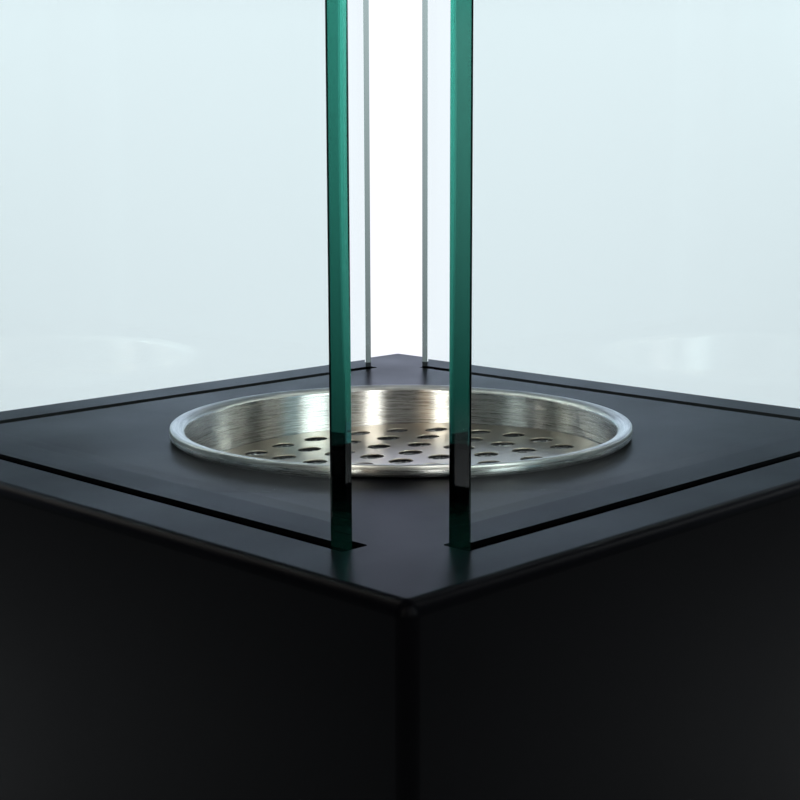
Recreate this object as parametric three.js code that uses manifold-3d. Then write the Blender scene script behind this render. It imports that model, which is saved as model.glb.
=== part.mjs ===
import * as THREE from 'three';
import { mergeVertices } from 'three/addons/utils/BufferGeometryUtils.js';
import Module from 'manifold-3d';

// A free-standing bioethanol fireplace. A folded steel casing stands on four rubber feet, a spun
// stainless burner cup hangs by its rolled rim in the round hole of the top, and four toughened
// glass panels stand in channels under the slots around it.
// Millimetres, +Z up. The origin is on the floor under the centre of the casing.
// The front is the side towards -Y, and the right is the side towards +X.

const wasm = await Module();
wasm.setup();

// ---------------------------------------------------------------- driving dimensions

const DEGREE = Math.PI / 180;

// Heights above the floor.
const FOOT_HEIGHT = 8;
const TOP_HEIGHT = 170;
const GLASS_TOP = 420;

// Casing, folded from one gauge of sheet, with welded and dressed corners.
const BASE_SIDE = 300;
const SHEET = 2;
const FOLD_RADIUS = 4;
const CORNER_RADIUS = 4.5;
const FOLD_STEPS = 3;
const CORNER_STEPS = 2;
const FLANGE_WIDTH = 22;
const MITRE_GAP = 1;
const MITRE_RELIEF = 6;

// Bottom plate and its screws.
const PLATE_INSET = 7;
const PLATE_CORNER = 6;
const PLATE_SCREW_INSET = 14;
const PLATE_SCREW_SPREAD = 90;
const SCREW_CLEARANCE = 0.25;

// Pan-head M4 screws, for the bottom plate and the feet.
const SCREW_RADIUS = 2;
const SCREW_HEAD_RADIUS = 3.75;
const SCREW_HEAD_HEIGHT = 2.25;
const SCREW_CROWN_RADIUS = 2.8;
const PLATE_SCREW_LENGTH = 8;
const FOOT_SCREW_LENGTH = 12;

// Rubber feet, with a recess that hides the screw head.
const FOOT_INSET = 38;
const FOOT_TOP_RADIUS = 13;
const FOOT_SOLE_RADIUS = 12;
const FOOT_EDGE = 1;
const FOOT_RECESS_RADIUS = 5.5;
const FOOT_RECESS_DEPTH = 4;

// Slots in the top, and the glass that stands in them.
const SLOT_INSET = 25.6;
const SLOT_WIDTH = 9.5;
const SLOT_LENGTH = 212;
const SLOT_CORNER = 1;
const GLASS_WIDTH = 206;
const GLASS_THICKNESS = 7.7;
const GLASS_BELOW_TOP = 22;
const GLASS_ARRIS = 0.5;
const GLASS_CORNER = 2;

// Glass channel, a strip folded to a U with one fixing flange, and its rubber glazing section.
const CHANNEL_SHEET = 1.5;
const CHANNEL_GAP = 11.6;
const CHANNEL_LENGTH = 224;
const CHANNEL_FOLD = 1.75;
const CHANNEL_FLANGE = 12;
const CHANNEL_TOP_GAP = 0.25;
const CHANNEL_FLANGE_LENGTH = 200;
const GLAZING_WIDTH = 11;
const GLAZING_BORE = 8.3;
const GLAZING_FLOOR = 2;
const GLAZING_HEIGHT = 14;
const GLAZING_CHAMFER = 1.25;
const GLAZING_LENGTH = 200;

// Weld studs under the top, and the nuts that hold the channels on them.
const STUD_RADIUS = 2;
const STUD_LENGTH = 9;
const STUD_SPREAD = 80;
const NUT_FLATS = 7;
const NUT_HEIGHT = 3.25;

// Burner cup, spun from one disc of stainless sheet, with its edge rolled outwards.
const CUP_SHEET = 0.8;
const CUP_INNER_RADIUS = 75.4;
const CUP_DEPTH = 56;
const CUP_BOTTOM_FOLD = 6;
const RIM_ROLL_RADIUS = 2.7;
const RIM_ROLL_SWEEP = 300;
const RIM_ROLL_STEPS = 8;
const BURNER_FACETS = 56;
const BURNER_HOLE_RADIUS = 76.9;

// Collar that stiffens the hole and guides the cup.
const COLLAR_SHEET = 1.5;
const COLLAR_GAP = 1;
const COLLAR_FLANGE = 13;
const COLLAR_DEPTH = 18;
const COLLAR_FOLD = 2;
const COLLAR_FACETS = 40;

// Perforated plate. It lies loose on the wool, so it sits a little out of level.
const DISC_RADIUS = 74.8;
const DISC_SHEET = 1;
const DISC_DROP = 10.8;
const DISC_TILT = 2.35;
const DISC_TILT_TOWARDS = 135;
const DISC_RINGS = 4;
const DISC_RING_PITCH = 15.1;
const DISC_HOLES_PER_STEP = 6;
const DISC_HOLE_RADIUS = 4.05;
const DISC_HOLE_PHASE = 31;
const DISC_HOLE_FACETS = 10;

// Ceramic wool under the perforated plate.
const WOOL_RADIUS = 74.8;
const WOOL_EDGE = 5;
const WOOL_SHOULDER_IN = 1.25;
const WOOL_SHOULDER_DROP = 1.7;
const WOOL_GAP = 0.25;
const WOOL_FACETS = 36;

// Spill tray on the bottom plate, under the burner, and its rivets.
const TRAY_RADIUS = 98;
const TRAY_WALL = 16;
const TRAY_SHEET = 1;
const TRAY_FOLD = 4;
const TRAY_HEM_RADIUS = 2;
const TRAY_HEM_SWEEP = 180;
const TRAY_FACETS = 30;
const RIVET_CIRCLE = 70;
const RIVET_COUNT = 3;
const RIVET_RADIUS = 1.6;
const RIVET_HEAD_RADIUS = 3.25;
const RIVET_HEAD_HEIGHT = 1;
const RIVET_TAIL_RADIUS = 2.5;
const RIVET_TAIL_HEIGHT = 1.5;

// Facets of small round pieces and holes.
const SMALL_FACETS = 10;
const HOLE_FACETS = 8;
const FOOT_FACETS = 16;
const WELD_TOLERANCE = 1e-4;

// ---------------------------------------------------------------- places worked out from them

const HALF_SIDE = BASE_SIDE / 2;
const PLATE_BOTTOM = FOOT_HEIGHT;
const CASING_BOTTOM = PLATE_BOTTOM + SHEET;
const TOP_UNDERSIDE = TOP_HEIGHT - SHEET;
const GLASS_BOTTOM = TOP_HEIGHT - GLASS_BELOW_TOP;
const SLOT_OFFSET = HALF_SIDE - SLOT_INSET;
const PLATE_SCREW_OFFSET = HALF_SIDE - PLATE_SCREW_INSET;
const FOOT_OFFSET = HALF_SIDE - FOOT_INSET;
const CHANNEL_FLOOR = GLASS_BOTTOM - GLAZING_FLOOR;
const CHANNEL_WALL_LINE = (CHANNEL_GAP + CHANNEL_SHEET) / 2;
const CHANNEL_INNER_FACE = SLOT_OFFSET - CHANNEL_WALL_LINE - CHANNEL_SHEET / 2;
const STUD_OFFSET = SLOT_OFFSET - CHANNEL_WALL_LINE - CHANNEL_FOLD - CHANNEL_FLANGE / 2;
const CUP_WALL_LINE = CUP_INNER_RADIUS + CUP_SHEET / 2;

// Each side turns the same set of pieces about Z. The panels stand loose in their slots, so each
// has its own small shift along its slot.
const SIDES = [
  { name: 'front', turn: 180, shift: 1.6 },
  { name: 'right', turn: -90, shift: -2 },
  { name: 'back', turn: 0, shift: -0.4 },
  { name: 'left', turn: 90, shift: 2 },
];

const CORNERS = [
  { name: 'front_left', x: -1, y: -1 },
  { name: 'front_right', x: 1, y: -1 },
  { name: 'back_right', x: 1, y: 1 },
  { name: 'back_left', x: -1, y: 1 },
];

// ---------------------------------------------------------------- materials

function finish(color, roughness, metalness) {
  return new THREE.MeshStandardMaterial({ color, roughness, metalness });
}

const BLACK_PAINT = finish(0x2a2c30, 0.55, 0.2);
const ZINC_STEEL = finish(0x9a9da0, 0.45, 0.9);
const STAINLESS = finish(0xb9b4ac, 0.28, 1);
const RUBBER = finish(0x141414, 0.9, 0);
const CERAMIC_WOOL = finish(0xcfccc2, 1, 0);
const GLASS = new THREE.MeshStandardMaterial({
  color: 0x8fc9b8,
  roughness: 0.05,
  metalness: 0,
  transparent: true,
  opacity: 0.35,
});

// ---------------------------------------------------------------- joining and cutting

// Welds a closed geometry's shared vertices and drops the slivers that the axis of a revolve leaves.
function toSolid(geometry) {
  const bare = geometry.clone();
  bare.deleteAttribute('normal');
  bare.deleteAttribute('uv');
  const welded = mergeVertices(bare, WELD_TOLERANCE);
  const kept = [];
  for (let i = 0; i < welded.index.count; i += 3) {
    const [a, b, c] = [0, 1, 2].map((k) => welded.index.getX(i + k));
    if (a !== b && b !== c && c !== a) kept.push(a, b, c);
  }
  return new wasm.Manifold(new wasm.Mesh({
    numProp: 3,
    vertProperties: new Float32Array(welded.attributes.position.array),
    triVerts: new Uint32Array(kept),
  }));
}

function toGeometry(solid) {
  const mesh = solid.getMesh();
  const geometry = new THREE.BufferGeometry();
  geometry.setAttribute('position', new THREE.BufferAttribute(mesh.vertProperties, 3));
  geometry.setIndex(new THREE.BufferAttribute(mesh.triVerts, 1));
  geometry.computeVertexNormals();
  return geometry;
}

function cut(geometry, cutters) {
  let solid = toSolid(geometry);
  for (const cutter of cutters) {
    solid = solid.subtract(toSolid(cutter));
  }
  return toGeometry(solid);
}

function join(geometry, additions) {
  let solid = toSolid(geometry);
  for (const addition of additions) {
    solid = solid.add(toSolid(addition));
  }
  return toGeometry(solid);
}

// ---------------------------------------------------------------- basic forms

function roundedRectangle(width, depth, radius) {
  const x = width / 2;
  const y = depth / 2;
  const shape = new THREE.Shape();
  shape.moveTo(x, -y + radius);
  shape.absarc(x - radius, y - radius, radius, 0, 90 * DEGREE);
  shape.absarc(-x + radius, y - radius, radius, 90 * DEGREE, 180 * DEGREE);
  shape.absarc(-x + radius, -y + radius, radius, 180 * DEGREE, 270 * DEGREE);
  shape.absarc(x - radius, -y + radius, radius, 270 * DEGREE, 360 * DEGREE);
  return shape;
}

function slab(shape, zLow, zHigh, curveSegments = CORNER_STEPS) {
  const geometry = new THREE.ExtrudeGeometry(shape, {
    depth: zHigh - zLow,
    bevelEnabled: false,
    curveSegments,
  });
  geometry.translate(0, 0, zLow);
  return geometry;
}

// A block with all its edges rounded, like the outside or the inside of a folded box.
function foldedBlock(side, cornerRadius, edgeRadius, zLow, zHigh) {
  const flat = side - 2 * edgeRadius;
  const geometry = new THREE.ExtrudeGeometry(roundedRectangle(flat, flat, cornerRadius - edgeRadius), {
    depth: zHigh - zLow - 2 * edgeRadius,
    bevelThickness: edgeRadius,
    bevelSize: edgeRadius,
    bevelSegments: FOLD_STEPS,
    curveSegments: CORNER_STEPS,
  });
  geometry.translate(0, 0, zLow + edgeRadius);
  return geometry;
}

function upright(radius, x, y, zLow, zHigh, facets = SMALL_FACETS) {
  const geometry = new THREE.CylinderGeometry(radius, radius, zHigh - zLow, facets);
  geometry.rotateX(90 * DEGREE);
  geometry.translate(x, y, (zLow + zHigh) / 2);
  return geometry;
}

// Revolves a profile of [radius, height] points about Z. A profile that leaves the axis is closed.
function revolve(profile, facets) {
  const points = profile.map(([radius, height]) => new THREE.Vector2(radius, height));
  if (THREE.ShapeUtils.area(points) < 0) points.reverse();
  if (points[0].x > 0) points.push(points[0].clone());
  const geometry = new THREE.LatheGeometry(points, facets);
  geometry.rotateX(90 * DEGREE);
  return geometry;
}

// Extrudes a section along X, centred. The section's x becomes Y and its y becomes Z.
function extrudeAlongX(shape, length) {
  const geometry = new THREE.ExtrudeGeometry(shape, { depth: length, bevelEnabled: false });
  geometry.translate(0, 0, -length / 2);
  geometry.applyMatrix4(new THREE.Matrix4().makeBasis(
    new THREE.Vector3(0, 1, 0),
    new THREE.Vector3(0, 0, 1),
    new THREE.Vector3(1, 0, 0),
  ));
  return geometry;
}

// The section of a folded sheet, drawn as it is bent: straight runs and bends, one after another.
// It follows the middle of the sheet, and outline() gives the closed section around it.
class SheetSection {
  constructor(x, y, headingDegrees) {
    this.point = new THREE.Vector2(x, y);
    this.heading = headingDegrees * DEGREE;
    this.stations = [];
    this.mark();
  }

  mark() {
    const normal = new THREE.Vector2(-Math.sin(this.heading), Math.cos(this.heading));
    this.stations.push({ point: this.point.clone(), normal });
  }

  straight(length) {
    this.point.x += length * Math.cos(this.heading);
    this.point.y += length * Math.sin(this.heading);
    this.mark();
    return this;
  }

  // Positive angles bend to the left of the way the run goes.
  bend(radius, degrees, steps = FOLD_STEPS) {
    const side = Math.sign(degrees);
    const centre = new THREE.Vector2(
      this.point.x - side * radius * Math.sin(this.heading),
      this.point.y + side * radius * Math.cos(this.heading),
    );
    const step = (degrees * DEGREE) / steps;
    for (let i = 0; i < steps; i += 1) {
      this.point.rotateAround(centre, step);
      this.heading += step;
      this.mark();
    }
    return this;
  }

  outline(thickness) {
    const offset = (station, amount) => [
      station.point.x + station.normal.x * amount,
      station.point.y + station.normal.y * amount,
    ];
    const left = this.stations.map((station) => offset(station, thickness / 2));
    const right = this.stations.map((station) => offset(station, -thickness / 2));
    return [...left, ...right.reverse()];
  }

  shape(thickness) {
    return new THREE.Shape(this.outline(thickness).map(([x, y]) => new THREE.Vector2(x, y)));
  }
}

// ---------------------------------------------------------------- casing and base

function turned(geometry, degrees) {
  return geometry.rotateZ(degrees * DEGREE);
}

function plateScrewPlaces() {
  const places = [];
  for (const side of SIDES) {
    for (const along of [-PLATE_SCREW_SPREAD, PLATE_SCREW_SPREAD]) {
      const place = new THREE.Vector2(along, PLATE_SCREW_OFFSET);
      place.rotateAround(new THREE.Vector2(), side.turn * DEGREE);
      places.push(place);
    }
  }
  return places;
}

function screwHoles(places, zLow, zHigh) {
  const radius = SCREW_RADIUS + SCREW_CLEARANCE;
  return places.map((place) => upright(radius, place.x, place.y, zLow, zHigh, HOLE_FACETS));
}

// The slit where two return flanges meet at a corner, with its relief at the corner.
function mitreSlits() {
  const window = HALF_SIDE - FLANGE_WIDTH;
  const reach = HALF_SIDE - MITRE_RELIEF;
  const length = (reach - window) * Math.SQRT2 + MITRE_RELIEF;
  const middle = (reach + window) / 2 * Math.SQRT2;
  return CORNERS.map((corner) => {
    const slit = new THREE.BoxGeometry(length, MITRE_GAP, 2 * SHEET);
    slit.translate(middle, 0, CASING_BOTTOM + SHEET / 2);
    return turned(slit, Math.atan2(corner.y, corner.x) / DEGREE);
  });
}

function makeCasing() {
  const outside = foldedBlock(BASE_SIDE, CORNER_RADIUS, FOLD_RADIUS, CASING_BOTTOM, TOP_HEIGHT);
  const inside = foldedBlock(
    BASE_SIDE - 2 * SHEET,
    CORNER_RADIUS - SHEET,
    FOLD_RADIUS - SHEET,
    CASING_BOTTOM + SHEET,
    TOP_UNDERSIDE,
  );
  const windowSide = BASE_SIDE - 2 * FLANGE_WIDTH;
  const bottomWindow = slab(
    roundedRectangle(windowSide, windowSide, PLATE_CORNER),
    PLATE_BOTTOM,
    CASING_BOTTOM + 2 * SHEET,
  );
  const burnerHole = upright(
    BURNER_HOLE_RADIUS, 0, 0, TOP_UNDERSIDE - SHEET, TOP_HEIGHT + SHEET, BURNER_FACETS,
  );
  const slots = SIDES.map((side) => {
    const slot = slab(
      roundedRectangle(SLOT_LENGTH, SLOT_WIDTH, SLOT_CORNER),
      TOP_UNDERSIDE - SHEET,
      TOP_HEIGHT + SHEET,
    );
    return turned(slot.translate(0, SLOT_OFFSET, 0), side.turn);
  });
  const screws = screwHoles(plateScrewPlaces(), PLATE_BOTTOM, CASING_BOTTOM + 2 * SHEET);
  const shell = cut(outside, [inside, bottomWindow, burnerHole, ...slots, ...mitreSlits(), ...screws]);
  const studs = [];
  for (const side of SIDES) {
    for (const along of [-STUD_SPREAD, STUD_SPREAD]) {
      const stud = upright(
        STUD_RADIUS, along, STUD_OFFSET, TOP_UNDERSIDE - STUD_LENGTH, TOP_UNDERSIDE + SHEET / 2,
      );
      studs.push(turned(stud, side.turn));
    }
  }
  return join(shell, studs);
}

function footPlaces() {
  return CORNERS.map((corner) => new THREE.Vector2(corner.x * FOOT_OFFSET, corner.y * FOOT_OFFSET));
}

function rivetPlaces() {
  const places = [];
  for (let i = 0; i < RIVET_COUNT; i += 1) {
    const angle = (i * 2 * Math.PI) / RIVET_COUNT;
    places.push(new THREE.Vector2(RIVET_CIRCLE * Math.cos(angle), RIVET_CIRCLE * Math.sin(angle)));
  }
  return places;
}

function rivetHoles(zLow, zHigh) {
  const radius = RIVET_RADIUS + SCREW_CLEARANCE;
  return rivetPlaces().map((place) => upright(radius, place.x, place.y, zLow, zHigh, HOLE_FACETS));
}

function makeBottomPlate() {
  const side = BASE_SIDE - 2 * PLATE_INSET;
  const plate = slab(roundedRectangle(side, side, PLATE_CORNER), PLATE_BOTTOM, PLATE_BOTTOM + SHEET);
  const zLow = PLATE_BOTTOM - SHEET;
  const zHigh = PLATE_BOTTOM + 2 * SHEET;
  const holes = screwHoles([...plateScrewPlaces(), ...footPlaces()], zLow, zHigh);
  return cut(plate, [...holes, ...rivetHoles(zLow, zHigh)]);
}

// A pan-head screw driven upwards. Its head's seat is at height zero.
function makeScrew(length) {
  return revolve([
    [0, -SCREW_HEAD_HEIGHT],
    [SCREW_CROWN_RADIUS, -SCREW_HEAD_HEIGHT],
    [SCREW_HEAD_RADIUS, -SCREW_HEAD_HEIGHT / 2],
    [SCREW_HEAD_RADIUS, 0],
    [SCREW_RADIUS, 0],
    [SCREW_RADIUS, length],
    [0, length],
  ], SMALL_FACETS);
}

function makeFoot() {
  const bore = SCREW_RADIUS + SCREW_CLEARANCE;
  return revolve([
    [FOOT_RECESS_RADIUS, 0],
    [FOOT_SOLE_RADIUS - FOOT_EDGE, 0],
    [FOOT_SOLE_RADIUS, FOOT_EDGE],
    [FOOT_TOP_RADIUS, FOOT_HEIGHT - FOOT_EDGE],
    [FOOT_TOP_RADIUS - FOOT_EDGE / 2, FOOT_HEIGHT],
    [bore, FOOT_HEIGHT],
    [bore, FOOT_RECESS_DEPTH],
    [FOOT_RECESS_RADIUS, FOOT_RECESS_DEPTH],
  ], FOOT_FACETS);
}

function makeSpillTray() {
  const floor = CASING_BOTTOM + TRAY_SHEET / 2;
  const section = new SheetSection(0, floor, 0)
    .straight(TRAY_RADIUS - TRAY_FOLD)
    .bend(TRAY_FOLD, 90)
    .straight(TRAY_WALL - TRAY_FOLD)
    .bend(TRAY_HEM_RADIUS, -TRAY_HEM_SWEEP);
  const tray = revolve(section.outline(TRAY_SHEET), TRAY_FACETS);
  return cut(tray, rivetHoles(CASING_BOTTOM - SHEET, CASING_BOTTOM + 2 * SHEET));
}

// A blind rivet through the tray and the bottom plate. Its head's seat is at height zero.
function makeRivet() {
  const grip = TRAY_SHEET + SHEET;
  return revolve([
    [0, -grip - RIVET_TAIL_HEIGHT],
    [RIVET_RADIUS, -grip - RIVET_TAIL_HEIGHT],
    [RIVET_TAIL_RADIUS, -grip - RIVET_TAIL_HEIGHT / 2],
    [RIVET_TAIL_RADIUS, -grip],
    [RIVET_RADIUS, -grip],
    [RIVET_RADIUS, 0],
    [RIVET_HEAD_RADIUS, 0],
    [RIVET_RADIUS, RIVET_HEAD_HEIGHT],
    [0, RIVET_HEAD_HEIGHT],
  ], SMALL_FACETS);
}

// ---------------------------------------------------------------- glass and its channels

// Drawn for the back side, with the slot's middle line at SLOT_OFFSET along Y.
function makeGlassChannel() {
  const floorLine = CHANNEL_FLOOR - CHANNEL_SHEET / 2;
  const flangeLine = TOP_UNDERSIDE - CHANNEL_SHEET / 2;
  const outerTop = TOP_UNDERSIDE - CHANNEL_TOP_GAP;
  const section = new SheetSection(SLOT_OFFSET + CHANNEL_WALL_LINE, outerTop, -90)
    .straight(outerTop - floorLine - CHANNEL_FOLD)
    .bend(CHANNEL_FOLD, -90)
    .straight(2 * (CHANNEL_WALL_LINE - CHANNEL_FOLD))
    .bend(CHANNEL_FOLD, -90)
    .straight(flangeLine - floorLine - 2 * CHANNEL_FOLD)
    .bend(CHANNEL_FOLD, 90)
    .straight(CHANNEL_FLANGE);
  const channel = extrudeAlongX(section.shape(CHANNEL_SHEET), CHANNEL_LENGTH);
  const holeRadius = STUD_RADIUS + SCREW_CLEARANCE;
  const holes = [-STUD_SPREAD, STUD_SPREAD].map((along) => upright(
    holeRadius, along, STUD_OFFSET, TOP_UNDERSIDE - 2 * SHEET, TOP_UNDERSIDE + SHEET, HOLE_FACETS,
  ));
  // The flange stops short of the neighbouring channels' flanges.
  const notchLength = (CHANNEL_LENGTH - CHANNEL_FLANGE_LENGTH) / 2;
  const notches = [-1, 1].map((end) => {
    const notch = new THREE.BoxGeometry(2 * notchLength, 2 * CHANNEL_FLANGE, 4 * CHANNEL_FOLD);
    const middle = CHANNEL_FLANGE_LENGTH / 2 + notchLength;
    return notch.translate(end * middle, CHANNEL_INNER_FACE - CHANNEL_FLANGE, TOP_UNDERSIDE);
  });
  return cut(channel, [...holes, ...notches]);
}

function makeGlazingSection() {
  const outer = GLAZING_WIDTH / 2;
  const inner = GLAZING_BORE / 2;
  const top = CHANNEL_FLOOR + GLAZING_HEIGHT;
  const shape = new THREE.Shape();
  shape.moveTo(SLOT_OFFSET - outer + GLAZING_CHAMFER, CHANNEL_FLOOR);
  shape.lineTo(SLOT_OFFSET + outer - GLAZING_CHAMFER, CHANNEL_FLOOR);
  shape.lineTo(SLOT_OFFSET + outer, CHANNEL_FLOOR + GLAZING_CHAMFER);
  shape.lineTo(SLOT_OFFSET + outer, top);
  shape.lineTo(SLOT_OFFSET + inner, top);
  shape.lineTo(SLOT_OFFSET + inner, GLASS_BOTTOM);
  shape.lineTo(SLOT_OFFSET - inner, GLASS_BOTTOM);
  shape.lineTo(SLOT_OFFSET - inner, top);
  shape.lineTo(SLOT_OFFSET - outer, top);
  shape.lineTo(SLOT_OFFSET - outer, CHANNEL_FLOOR + GLAZING_CHAMFER);
  return extrudeAlongX(shape, GLAZING_LENGTH);
}

// A panel with dubbed corners and a narrow arris on all its edges.
function makeGlassPanel(shift) {
  const height = GLASS_TOP - GLASS_BOTTOM;
  const face = roundedRectangle(
    GLASS_WIDTH - 2 * GLASS_ARRIS,
    height - 2 * GLASS_ARRIS,
    GLASS_CORNER - GLASS_ARRIS,
  );
  const panel = new THREE.ExtrudeGeometry(face, {
    depth: GLASS_THICKNESS - 2 * GLASS_ARRIS,
    bevelThickness: GLASS_ARRIS,
    bevelSize: GLASS_ARRIS,
    bevelSegments: 1,
    curveSegments: CORNER_STEPS,
  });
  panel.translate(0, 0, GLASS_ARRIS - GLASS_THICKNESS / 2);
  panel.rotateX(90 * DEGREE);
  panel.translate(shift, SLOT_OFFSET, (GLASS_TOP + GLASS_BOTTOM) / 2);
  return panel;
}

function makeNut() {
  const shape = new THREE.Shape();
  const corner = NUT_FLATS / Math.sqrt(3);
  for (let i = 0; i < 6; i += 1) {
    const angle = i * 60 * DEGREE;
    const vertex = [corner * Math.cos(angle), corner * Math.sin(angle)];
    if (i === 0) shape.moveTo(...vertex);
    else shape.lineTo(...vertex);
  }
  const bore = new THREE.Path();
  bore.absarc(0, 0, STUD_RADIUS + SCREW_CLEARANCE, 0, 360 * DEGREE);
  shape.holes.push(bore);
  return slab(shape, 0, NUT_HEIGHT, HOLE_FACETS / 2);
}

// ---------------------------------------------------------------- burner

// The cup's heights are taken from the top face, which its rolled rim rests on.
function makeBurnerCup() {
  const rollLine = RIM_ROLL_RADIUS - CUP_SHEET / 2;
  const floorLine = -CUP_DEPTH + CUP_SHEET / 2;
  const section = new SheetSection(0, floorLine, 0)
    .straight(CUP_WALL_LINE - CUP_BOTTOM_FOLD)
    .bend(CUP_BOTTOM_FOLD, 90)
    .straight(RIM_ROLL_RADIUS - floorLine - CUP_BOTTOM_FOLD)
    .bend(rollLine, -RIM_ROLL_SWEEP, RIM_ROLL_STEPS);
  return revolve(section.outline(CUP_SHEET), BURNER_FACETS);
}

function makeBurnerCollar() {
  const wallLine = BURNER_HOLE_RADIUS + COLLAR_GAP + COLLAR_SHEET / 2;
  const section = new SheetSection(wallLine + COLLAR_FOLD + COLLAR_FLANGE, -COLLAR_SHEET / 2, 180)
    .straight(COLLAR_FLANGE)
    .bend(COLLAR_FOLD, 90)
    .straight(COLLAR_DEPTH);
  return revolve(section.outline(COLLAR_SHEET), COLLAR_FACETS);
}

// Holes lie on rings of six, twelve, eighteen and so on around one in the middle.
function makePerforatedDisc() {
  const shape = new THREE.Shape();
  shape.absarc(0, 0, DISC_RADIUS, 0, 360 * DEGREE);
  for (let ring = 0; ring <= DISC_RINGS; ring += 1) {
    const count = Math.max(1, ring * DISC_HOLES_PER_STEP);
    for (let i = 0; i < count; i += 1) {
      const angle = DISC_HOLE_PHASE * DEGREE + (i * 2 * Math.PI) / count;
      const hole = new THREE.Path();
      const x = ring * DISC_RING_PITCH * Math.cos(angle);
      const y = ring * DISC_RING_PITCH * Math.sin(angle);
      for (let k = 0; k < DISC_HOLE_FACETS; k += 1) {
        const turn = (k * 2 * Math.PI) / DISC_HOLE_FACETS;
        const vertex = [x + DISC_HOLE_RADIUS * Math.cos(turn), y + DISC_HOLE_RADIUS * Math.sin(turn)];
        if (k === 0) hole.moveTo(...vertex);
        else hole.lineTo(...vertex);
      }
      shape.holes.push(hole);
    }
  }
  return slab(shape, -DISC_SHEET, 0, BURNER_FACETS / 2);
}

// The wool fills the cup up to the perforated plate, so its top leans as the plate does.
function makeWool() {
  const floor = -CUP_DEPTH + CUP_SHEET;
  const top = -DISC_DROP - DISC_SHEET - WOOL_GAP;
  const pad = revolve([
    [0, floor],
    [WOOL_RADIUS - CUP_BOTTOM_FOLD, floor],
    [WOOL_RADIUS, floor + CUP_BOTTOM_FOLD],
    [WOOL_RADIUS, top - WOOL_EDGE],
    [WOOL_RADIUS - WOOL_SHOULDER_IN, top - WOOL_SHOULDER_DROP],
    [WOOL_RADIUS - WOOL_EDGE, top],
    [0, top],
  ], WOOL_FACETS);
  const lean = -Math.tan(DISC_TILT * DEGREE);
  const leanX = lean * Math.cos(DISC_TILT_TOWARDS * DEGREE);
  const leanY = lean * Math.sin(DISC_TILT_TOWARDS * DEGREE);
  const position = pad.attributes.position;
  for (let i = 0; i < position.count; i += 1) {
    const share = (position.getZ(i) - floor) / (top - floor);
    const rise = share * (leanX * position.getX(i) + leanY * position.getY(i));
    position.setZ(i, position.getZ(i) + rise);
  }
  return pad;
}

// ---------------------------------------------------------------- assembly

function part(name, geometry, material) {
  const mesh = new THREE.Mesh(geometry, material);
  mesh.name = name;
  return mesh;
}

const fireplace = new THREE.Group();
fireplace.add(part('casing', makeCasing(), BLACK_PAINT));
fireplace.add(part('bottom_plate', makeBottomPlate(), BLACK_PAINT));
fireplace.add(part('spill_tray', makeSpillTray(), ZINC_STEEL));

plateScrewPlaces().forEach((place, index) => {
  const screw = part(`plate_screw_${index + 1}`, makeScrew(PLATE_SCREW_LENGTH), ZINC_STEEL);
  screw.position.set(place.x, place.y, PLATE_BOTTOM);
  fireplace.add(screw);
});

rivetPlaces().forEach((place, index) => {
  const rivet = part(`tray_rivet_${index + 1}`, makeRivet(), ZINC_STEEL);
  rivet.position.set(place.x, place.y, CASING_BOTTOM + TRAY_SHEET);
  fireplace.add(rivet);
});

footPlaces().forEach((place, index) => {
  const corner = CORNERS[index].name;
  const foot = part(`foot_${corner}`, makeFoot(), RUBBER);
  foot.position.set(place.x, place.y, 0);
  const screw = part(`foot_screw_${corner}`, makeScrew(FOOT_SCREW_LENGTH), ZINC_STEEL);
  screw.position.set(place.x, place.y, FOOT_RECESS_DEPTH);
  fireplace.add(foot, screw);
});

for (const side of SIDES) {
  const group = new THREE.Group();
  group.rotation.z = side.turn * DEGREE;
  group.add(part(`glass_channel_${side.name}`, makeGlassChannel(), BLACK_PAINT));
  group.add(part(`glazing_strip_${side.name}`, makeGlazingSection(), RUBBER));
  group.add(part(`glass_${side.name}`, makeGlassPanel(side.shift), GLASS));
  [-STUD_SPREAD, STUD_SPREAD].forEach((along, index) => {
    const nut = part(`channel_nut_${side.name}_${index + 1}`, makeNut(), ZINC_STEEL);
    nut.position.set(along, STUD_OFFSET, TOP_UNDERSIDE - CHANNEL_SHEET - NUT_HEIGHT);
    group.add(nut);
  });
  fireplace.add(group);
}

const collar = part('burner_collar', makeBurnerCollar(), ZINC_STEEL);
collar.position.z = TOP_UNDERSIDE;
fireplace.add(collar);

const burner = new THREE.Group();
burner.position.z = TOP_HEIGHT;
burner.add(part('burner_cup', makeBurnerCup(), STAINLESS));
burner.add(part('ceramic_wool', makeWool(), CERAMIC_WOOL));

// The plate dips towards DISC_TILT_TOWARDS, so it turns about the level line square to that.
const disc = part('perforated_disc', makePerforatedDisc(), STAINLESS);
const levelLine = new THREE.Vector3(
  -Math.sin(DISC_TILT_TOWARDS * DEGREE),
  Math.cos(DISC_TILT_TOWARDS * DEGREE),
  0,
);
disc.quaternion.setFromAxisAngle(levelLine, DISC_TILT * DEGREE);
disc.position.z = -DISC_DROP;
burner.add(disc);
fireplace.add(burner);

export default fireplace;
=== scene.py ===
import math

import bmesh
import bpy
from mathutils import Matrix, Vector, noise


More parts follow.
